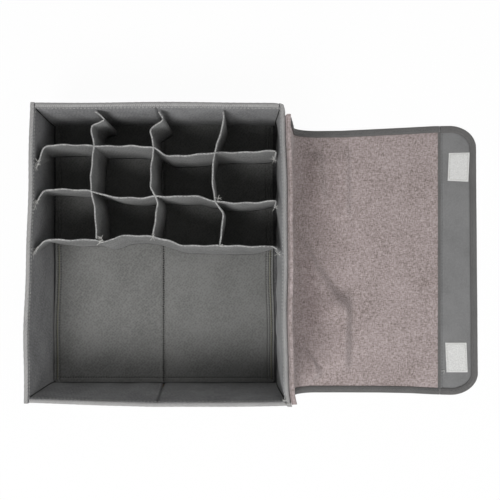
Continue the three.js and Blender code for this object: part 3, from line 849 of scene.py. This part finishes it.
def beside_line(x, y, line, ends):
    """How far points lie left of a line (from x, from y, to x, to y), and how fully beside it."""
    x0, y0, x1, y1 = line
    length = math.hypot(x1 - x0, y1 - y0)
    along = ((x - x0) * (x1 - x0) + (y - y0) * (y1 - y0)) / length
    left = ((y - y0) * (x1 - x0) - (x - x0) * (y1 - y0)) / length
    return left, eased(along / (ends * length)) * eased((length - along) / (ends * length))


def lid_rise(s, y):
    """How far the lid stands off its middle line: pushed out by the rim, and wrinkled where it lies."""
    rim_point = np.stack([np.full_like(y, BOX_SIDE), y, np.full_like(y, RIM_Z)], axis=-1)
    pushed = sway(rim_point)[..., 0] - BOX_SIDE + RIM_PUSH
    rise = pushed * np.clip(1 - s / RIM_PUSH_FADES, 0, 1) ** 2
    hung = np.clip(s / HUNG_GROWS, 0, 1) * np.clip((lying_from + HUNG_PAST - s) / HUNG_FADES, 0, 1)
    rise = rise + hung * (HUNG_WAVE * np.sin(y / 26.0 + s / 50.0) + HUNG_RIPPLE * np.sin(y / 11.0 + 0.7))
    x = lid_line(s)[0]
    laid = np.clip((s - lying_from + LAID_BEFORE) / LAID_GROWS, 0, 1)
    bumps = LID_UNEVEN * (1 + np.sin(x / 19.0 + y / 37.0) * np.sin(y / 29.0 - x / 53.0))
    for *line, height, half_width in LID_WRINKLES:
        left, beside = beside_line(x, y, line, 0.3)
        bumps = bumps + height * beside * np.exp(-((left / half_width) ** 2))
    for *line, height, width, reach in LID_SLOPES:
        left, beside = beside_line(x, y, line, 0.22)
        fall = np.exp(-((np.clip(left, 0, None) / reach) ** 2))
        bumps = bumps + height * beside * eased(left / width + 0.5) * fall
    for *line, height, width, reach in LID_CRESTS:
        left, beside = beside_line(x, y, line, 0.25)
        fall = np.where(left < 0, 1 - eased(-left / width), np.exp(-np.clip(left, 0, None) / reach))
        bumps = bumps + height * beside * fall
    edge = np.minimum(y - LID_FRONT_EDGE[4], LID_BACK_EDGE[4] - y)
    kept = EDGE_SHARE + (1 - EDGE_SHARE) * eased(edge / EDGE_REACH)
    return rise + laid * np.clip(LID_UNEVEN + (bumps - LID_UNEVEN) * kept, 0, None)


def lid_point(s, y, height=0.0):
    """A point of the lid in the box's frame, height above its middle line, and the way it faces."""
    x, z, turned = lid_line(s)
    normal = np.stack([np.cos(turned), np.zeros_like(turned), np.sin(turned)], axis=-1)
    middle = np.stack([x, y, z], axis=-1)
    return middle + normal * (lid_rise(s, y) + height)[..., None], normal


def lid_edges(s):
    """Where the lid's front and back edges run."""
    front = np.interp(s, LID_EDGE_PLACES, LID_FRONT_EDGE)
    return front, np.interp(s, LID_EDGE_PLACES, LID_BACK_EDGE)


def across_lid(front, back):
    """Rows of places from the front edge to the back edge."""
    return front[:, None] + (back - front)[:, None] * np.linspace(0, 1, LID_COLUMNS)[None, :]


def melange(name):
    """Soft melange cloth: grey-brown yarns of two shades, crossed, with a short matt nap."""
    material, tree, surface, place = new_material(
        name, {"Roughness": 0.95, "Specular IOR Level": 0.2, "Sheen Weight": 0.2})
    # The real yarns are about 0.4 mm wide. They are drawn at 1.2 mm, so that the flecks show.
    yarn = 1 / (1.2 * MM)
    flecks = []
    for scale in ((yarn, yarn * 0.35, yarn * 0.5), (yarn * 0.35, yarn, yarn * 0.5)):
        stretched = node(tree, "ShaderNodeMapping", {"Scale": scale}, {"Vector": place})
        flecks.append(noise(
            tree, stretched.outputs["Vector"], {"Scale": 0.8, "Detail": 2.0, "Roughness": 0.7}))
    crossed = maths(tree, "ADD", *flecks)
    cloud = noise(tree, place, {"Scale": 14.0, "Detail": 3.0})
    tone = maths(tree, "MULTIPLY", maths(tree, "MULTIPLY_ADD", cloud, 0.35, crossed), 0.62)
    two_tone(tree, surface, tone, ("#70655f", "#c6b8b8"), (0.5, 0.95))
    relief(tree, surface, crossed, 0.5, 0.35)
    return material


taupe_melange = melange("taupe_melange")
# Each fold as the two bodies that it joins, and where it starts and ends along the lid.
turn_1, turn_2, turn_3, turn_4 = [straight_length + arc_length / 3 * k for k in range(4)]
END_FOLD = ("lid_lying", "lid_end", fold_place - FOLD_REACH, fold_place + FOLD_REACH)
# Each length as its name, where it starts and ends, and its fold.
LID_LENGTHS = (
    ("lid_drop", 0.8, turn_2, ("lid_hanging", "lid_bend_1", turn_1, turn_2)),
    ("lid_bend_1", turn_2, turn_3, ("lid_bend_1", "lid_bend_2", turn_2, turn_3)),
    ("lid_bend_2", turn_3, LYING_SPLIT, ("lid_bend_2", "lid_lying", turn_3, turn_4)),
    ("lid_main", LYING_SPLIT, fold_place - SEAM_GAP, END_FOLD),
)


def bend_with_lid(piece, first, second, start, end):
    """Bakes the placement of a piece of the lid into its mesh."""
    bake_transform(piece)


for name, start, end, fold in LID_LENGTHS:
    s = np.linspace(start, end, max(4, int((end - start) / LID_STEP) + 1))
    front, back = lid_edges(s)
    y = across_lid(front + LID_TRIM, back - LID_TRIM)
    points = lid_point(np.repeat(s[:, None], LID_COLUMNS, axis=1), y)[0]
    panel = layer(f"{name}_panel", points, LID_THICKNESS, taupe_melange)
    bend_with_lid(panel, *fold)
    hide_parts(f"{name}_cloth")


# Lid seam. The top edge of the lid is rolled and sewn to the outside of the right wall, over a
# strip of the same taupe cloth that stays on the box.
ROLL_RADIUS = 2.4
STRIP_TOP, STRIP_FOOT, STRIP_THICKNESS = 126.4, 110.0, 2.4
seam_y = np.linspace(LID_FRONT_EDGE[0] + 0.6, LID_BACK_EDGE[0] - 0.6, 120)
seam_length = seam_y[-1] - seam_y[0]
roll_turns = np.linspace(0, 2 * math.pi, 13)[:-1]
roll_ring = np.stack([np.cos(roll_turns), np.zeros_like(roll_turns), np.sin(roll_turns)], axis=-1)
roll_size = ROLL_RADIUS * (1 + 0.06 * np.sin(seam_y / 3.1))[:, None, None]
roll_middle = lid_point(np.zeros_like(seam_y), seam_y)[0]
roll_stations = roll_middle[:, None, :] + roll_ring[None] * roll_size
seam_roll = make("lid_seam_roll", *sweep_mesh(roll_stations), taupe_melange)
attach(seam_roll, "lid_hanging")

strip_foot = (BOX_SIDE + 0.7, seam_y[0], STRIP_FOOT)
strip_points = grid(strip_foot, (0, seam_length, 0), (0, 0, STRIP_TOP - STRIP_FOOT), 90, 5)
seam_strip = layer("lid_seam_strip", sway(strip_points), STRIP_THICKNESS, taupe_melange)
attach(seam_strip, "box")


# End band. Smooth grey non-woven cloth, sewn to the taupe panel along a straight cross seam. Its
# free edge has two round corners.
band_nonwoven = nonwoven("band_nonwoven", "#868686", "#727272", dot_pitch=1.2, strength=0.15)
BAND_THICKNESS, BAND_DROP = 1.7, 0.2
band_start = fold_place + SEAM_GAP
band_end = lying_from - lying_x + (LID_END_AT_BACK + LID_END_AT_FRONT) / 2
band_slant = (LID_END_AT_FRONT - LID_END_AT_BACK) / 2


def band_limits(inset):
    """The end band's outline as rows across it: distance along the lid, front edge and back edge."""
    along, across = LID_CORNER_ALONG - inset, LID_CORNER_ACROSS - inset
    turn_from = band_end - inset - along
    straight = np.linspace(band_start, turn_from, 8)[:-1]
    angles = np.linspace(0, math.pi / 2, 40)
    s = np.concatenate([straight, turn_from + along * np.sin(angles)])
    pull = np.concatenate([np.zeros(len(straight)), across * (1 - np.cos(angles))])
    front, back = lid_edges(s)
    return s, front + inset + pull, back - inset - pull


s, front, back = band_limits(LID_TRIM)
reach = np.clip((s - band_start) / (s[-1] - band_start), 0, 1)[:, None]
to_back = np.linspace(-1, 1, LID_COLUMNS)[None, :]
points = lid_point(s[:, None] - band_slant * reach * to_back, across_lid(front, back), -BAND_DROP)[0]
band = layer("lid_end_band_cloth", points, BAND_THICKNESS, band_nonwoven)
bend_with_lid(band, *END_FOLD)
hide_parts("lid_end_band")


# Lid binding. A woven polypropylene tape is folded round the three free edges of the lid and sewn
# through it with one row of stitches. It is the same tape as on the rims, and a little darker.
LID_TAPE_SECTION = np.array([
    (9.0, 1.9), (5.0, 2.05), (1.4, 2.1), (0.35, 1.5), (0.0, 0.0), (0.35, -1.5), (1.4, -2.1),
    (9.0, -1.9), (9.0, -1.15), (1.4, -1.2), (0.9, 0.0), (1.4, 1.2), (9.0, 1.15),
])
LID_STITCH_INSET, LID_STITCH_HEIGHT = 5.8, 1.95
CROSS_SEAM_INSET, CROSS_SEAM_PLACE, CROSS_SEAM_HEIGHT = 9.5, 2.6, 0.8
# The dark strip that paints the shade beside the cross seam: its inset from the lid's edges, its thickness
# and its height.
SEAM_SHADE_INSET, SEAM_SHADE_THICKNESS, SEAM_SHADE_HEIGHT = 8.0, 0.5, 1.15
lid_tape = woven_tape("lid_tape", "#6f6e6d", "#434241")


def bind_edge(name, s, y, fold, node_name):
    """The folded tape and its stitches along part of the lid's edge, which runs counter-clockwise."""
    way = np.stack([np.gradient(s), np.gradient(y)], axis=1)
    way /= np.linalg.norm(way, axis=1, keepdims=True)
    reach = LID_TAPE_SECTION[None, :, 0]
    k = np.arange(len(s))[:, None]
    high = LID_TAPE_SECTION[None, :, 1] * (1 + 0.10 * np.sin(k * 1.9) + 0.06 * np.sin(k * 0.61))
    stations = lid_point(s[:, None] - way[:, 1:] * reach, y[:, None] + way[:, :1] * reach, high)[0]
    stations[..., 2] = np.maximum(stations[..., 2], 0.05)
    tape = make(f"{name}_tape", *sweep_mesh(stations), lid_tape)
    bend_with_lid(tape, *fold)
    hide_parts(node_name)
    inset_s, inset_y = s - way[:, 1] * LID_STITCH_INSET, y + way[:, 0] * LID_STITCH_INSET
    row, normal = lid_point(inset_s, inset_y, LID_STITCH_HEIGHT)
    sewn = stitches(f"{name}_stitches", row, normal, None)
    bend_with_lid(sewn, *fold)


for name, start, end, fold in LID_LENGTHS:
    s = np.linspace(start, end, max(3, int((end - start) / LID_STEP)))
    front, back = lid_edges(s)
    bind_edge(f"{name}_front", s, front, fold, f"{name}_binding_front")
    bind_edge(f"{name}_back", s[::-1], back[::-1], fold, f"{name}_binding_back")

s, front, back = band_limits(0.0)
reach = np.clip((s - band_start) / (s[-1] - band_start), 0, 1)
front_side = np.stack([s + band_slant * reach, front], axis=1)
back_side = np.stack([s - band_slant * reach, back], axis=1)[::-1]
end_outline = even_path(np.concatenate([front_side, back_side]), LID_STEP)
bind_edge("lid_end", end_outline[:, 0], end_outline[:, 1], END_FOLD, "lid_end_binding")

# The cross seam: the band's edge is turned under and sewn down with one row of stitches.
seam_front, seam_back = lid_edges(fold_place)
cross_y = np.linspace(seam_front + CROSS_SEAM_INSET, seam_back - CROSS_SEAM_INSET, 120)
row, normal = lid_point(np.full_like(cross_y, fold_place + CROSS_SEAM_PLACE), cross_y, CROSS_SEAM_HEIGHT)
cross_stitches = stitches("lid_cross_seam_stitches", row, normal, None)
bend_with_lid(cross_stitches, *END_FOLD)
# A thin dark strip of the binding tape lies along the panel's side of the seam. It is painted shade for the
# dark line beside the seam.
seam_shade_y = np.linspace(seam_front + SEAM_SHADE_INSET, seam_back - SEAM_SHADE_INSET, LID_COLUMNS)
seam_shade_s = np.linspace(fold_place - 3.0, fold_place + 0.6, 5)
seam_shade_points = lid_point(*np.meshgrid(seam_shade_s, seam_shade_y, indexing="ij"), SEAM_SHADE_HEIGHT)[0]
seam_shade_strip = layer("lid_cross_seam_shade_strip", seam_shade_points, SEAM_SHADE_THICKNESS, lid_tape)
bend_with_lid(seam_shade_strip, *END_FOLD)


# Fastener patches. Off-white hook and loop tape, cut to 27 by 38 mm and sewn down round its border.
# Two are on the lid's end band and two on the outside of the left wall, where the band folds over.
PATCH_THICKNESS, PATCH_DOME = 0.9, 0.25
PATCH_ROWS, PATCH_COLUMNS = 20, 28
PATCH_SEAM_INSET = 1.9
# How high a patch lies over the lid's middle line, and its stitches over the patch.
BAND_UNDER_PATCH, SEAM_OVER_PATCH = 0.65, 0.2
LID_PATCH_CORNERS = {
    "front": ((366.8, -116.1), (394.5, -116.1), (395.9, -154.8), (368.4, -154.8)),
    "back": ((371.4, 132.8), (398.6, 133.3), (396.8, 95.1), (369.8, 96.4)),
}


def loop_pile(name):
    """Hook and loop tape: a field of short nylon loops, pale and broken up by their shadows."""
    material, tree, surface, place = new_material(name, {"Roughness": 0.85, "Sheen Weight": 0.2})
    # The real loops are about 0.5 mm. They are drawn at 1.1 mm, so that they show.
    loops = node(
        tree, "ShaderNodeTexVoronoi", {"Scale": 1 / (1.1 * MM), "Randomness": 0.9}, {"Vector": place})
    hairs = noise(tree, place, {"Scale": 1100.0, "Detail": 3.0})
    pile = maths(tree, "MULTIPLY_ADD", loops.outputs["Distance"], 0.6, hairs)
    two_tone(tree, surface, pile, ("#f2f2f0", "#cececc"), (0.4, 1.0))
    relief(tree, surface, pile, 0.6, 0.5)
    return material


off_white_loops = loop_pile("off_white_loops")


def corner_grid(corners):
    """Points between four corners, given as upper left, upper right, lower right and lower left."""
    upper_left, upper_right, lower_right, lower_left = [np.array(c, float) for c in corners]
    u = np.linspace(0, 1, PATCH_ROWS)[:, None, None]
    v = np.linspace(0, 1, PATCH_COLUMNS)[None, :, None]
    low = lower_left + (lower_right - lower_left) * u
    high = upper_left + (upper_right - upper_left) * u
    return low + (high - low) * v


def patch_border(corners):
    """The patch's sewn border as a closed path, inset from its corners."""
    points = np.array(corners, float)
    pulled = points - np.sign(points - points.mean(axis=0)) * PATCH_SEAM_INSET
    return even_path(np.concatenate([pulled, pulled[:1]]), 1.5)


for side, corners in LID_PATCH_CORNERS.items():
    spots = corner_grid(corners)
    # The pile thins out at the cut edge, so that the patch is a little domed.
    rim_share = np.minimum(
        np.linspace(0, 1, PATCH_ROWS)[:, None], np.linspace(0, 1, PATCH_COLUMNS)[None, :])
    rim_share = np.minimum(rim_share, rim_share[::-1, ::-1])
    points = lid_point(spots[..., 0] - lying_x + lying_from, spots[..., 1])[0]
    points[..., 2] += BAND_UNDER_PATCH + PATCH_THICKNESS / 2 + PATCH_DOME * np.clip(rim_share / 0.08, 0, 1)
    patch = layer(f"lid_patch_{side}_tape", points, PATCH_THICKNESS, off_white_loops)
    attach(patch, "lid_end")
    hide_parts(f"lid_patch_{side}")
    border = patch_border(corners)
    row, up = lid_point(border[:, 0] - lying_x + lying_from, border[:, 1])
    row = row + up * (BAND_UNDER_PATCH + PATCH_THICKNESS + SEAM_OVER_PATCH)
    stitches(f"lid_patch_{side}_stitches", row, up, "lid_end", pale_thread, 3.0)

for side in ("front", "back"):
    low, high = cad_size(f"wall_patch_{side}")
    size = high - low
    foot = ((low[0] + high[0]) / 2, low[1], low[2])
    points = grid(foot, (0, size[1], 0), (0, 0, size[2]), PATCH_COLUMNS, PATCH_ROWS)
    patch = layer(f"wall_patch_{side}_tape", sway(points), size[0], off_white_loops)
    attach(patch, "box")
    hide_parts(f"wall_patch_{side}")
    border = patch_border(((low[1], high[2]), (high[1], high[2]), (high[1], low[2]), (low[1], low[2])))
    row = np.stack([np.full(len(border), low[0] - 0.1), border[:, 0], border[:, 1]], axis=1)
    facing = (-1.0, 0.0, 0.0)
    stitches(f"wall_patch_{side}_stitches", sway(row), facing, "box", pale_thread, 3.0)

# The thread at the lower patch's corner is left long.
THREAD_X, THREAD_Y = 365.6, -152.4
line, up = lid_point(np.array([THREAD_X - lying_x + lying_from]), np.array([THREAD_Y]))
loose = [
    hair_mesh(line[0] + up[0] * 2.0, np.array([math.cos(a), math.sin(a), 0.0]), 0.8, curl)
    for a, curl in ((2.9, 1.5), (3.6, -1.0), (4.3, 0.8))
]
patch_thread = make("lid_patch_thread_end", *join_meshes(loose)[:2], (), pale_thread)
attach(patch_thread, "lid_end")


# Floor. A plain matt white surface that the object stands on. The camera sees it white, and it
# keeps the object's shadow.
FLOOR_GLOW = 0.965
bpy.ops.mesh.primitive_plane_add(size=8.0, location=(0.1, 0.0, -0.0004))
floor = bpy.context.object
floor.name = "floor"
white_floor, floor_tree, floor_surface, _ = new_material(
    "white_floor", {"Base Color": linear("#fafafa"), "Roughness": 0.95})


def seen_directly(tree, share):
    """The share where the camera sees a surface, directly or in metal or glass, and nothing for light."""
    rays = node(tree, "ShaderNodeLightPath").outputs
    mirrored = maths(tree, "MAXIMUM", rays["Is Camera Ray"], rays["Is Glossy Ray"])
    return maths(tree, "MULTIPLY", maths(tree, "MAXIMUM", mirrored, rays["Is Transmission Ray"]), share)


white = node(floor_tree, "ShaderNodeEmission", {"Color": linear("#ffffff"), "Strength": 1.0})
mixed = node(
    floor_tree, "ShaderNodeMixShader",
    links={0: seen_directly(floor_tree, FLOOR_GLOW), 1: floor_surface.outputs[0], 2: white.outputs[0]})
floor_tree.links.new(mixed.outputs[0], floor_tree.nodes["Material Output"].inputs["Surface"])
floor.data.materials.append(white_floor)


# Light. A soft key light stands over the front left, and a weaker one over the right. A pale surround
# fills in. The camera sees the surround white, as it sees the floor.
world = bpy.data.worlds.new("surround")
bpy.context.scene.world = world
world.use_nodes = True
surround_tree = world.node_tree
surround = surround_tree.nodes["Background"]
surround.inputs["Color"].default_value = linear("#f4f5f6")
surround.inputs["Strength"].default_value = 0.3
white_surround = node(surround_tree, "ShaderNodeBackground", {"Color": linear("#ffffff"), "Strength": 1.0})
surround_mix = node(
    surround_tree, "ShaderNodeMixShader",
    links={0: seen_directly(surround_tree, 1.0), 1: surround.outputs[0], 2: white_surround.outputs[0]})
surround_tree.links.new(surround_mix.outputs[0], surround_tree.nodes["World Output"].inputs["Surface"])
LIT_SPOT = (0.1, 0.0, 0.05)


def soft_light(name, place, width, watts):
    """A large square light that faces the lit spot, with both places in metres."""
    lamp = bpy.data.lights.new(name, "AREA")
    lamp.shape = "SQUARE"
    lamp.size = width
    lamp.energy = watts
    made = bpy.data.objects.new(name, lamp)
    bpy.context.scene.collection.objects.link(made)
    made.location = place
    way = mathutils.Vector(LIT_SPOT) - mathutils.Vector(place)
    made.rotation_euler = way.to_track_quat("-Z", "Y").to_euler()


soft_light("key_light", (-0.36, -0.84, 1.6), 0.8, 22.0)
soft_light("fill_light", (1.3, -0.1, 1.2), 1.0, 6.0)


# Camera. It looks straight down at the middle of the photograph, so the box's front wall is at the
# bottom of the image and the lid is on the right.
CAMERA_X, CAMERA_Y, CAMERA_HEIGHT = 110.5, 5.5, 1046.0
camera_data = bpy.data.cameras.new("camera")
camera_data.sensor_fit = "HORIZONTAL"
camera_data.sensor_width = 36.0
camera_data.lens = 57.2
camera = bpy.data.objects.new("camera", camera_data)
bpy.context.scene.collection.objects.link(camera)
camera.location = (CAMERA_X * MM, CAMERA_Y * MM, CAMERA_HEIGHT * MM)
camera.rotation_euler = (0.0, 0.0, 0.0)
bpy.context.scene.camera = camera
bpy.context.scene.view_settings.view_transform = "Standard"
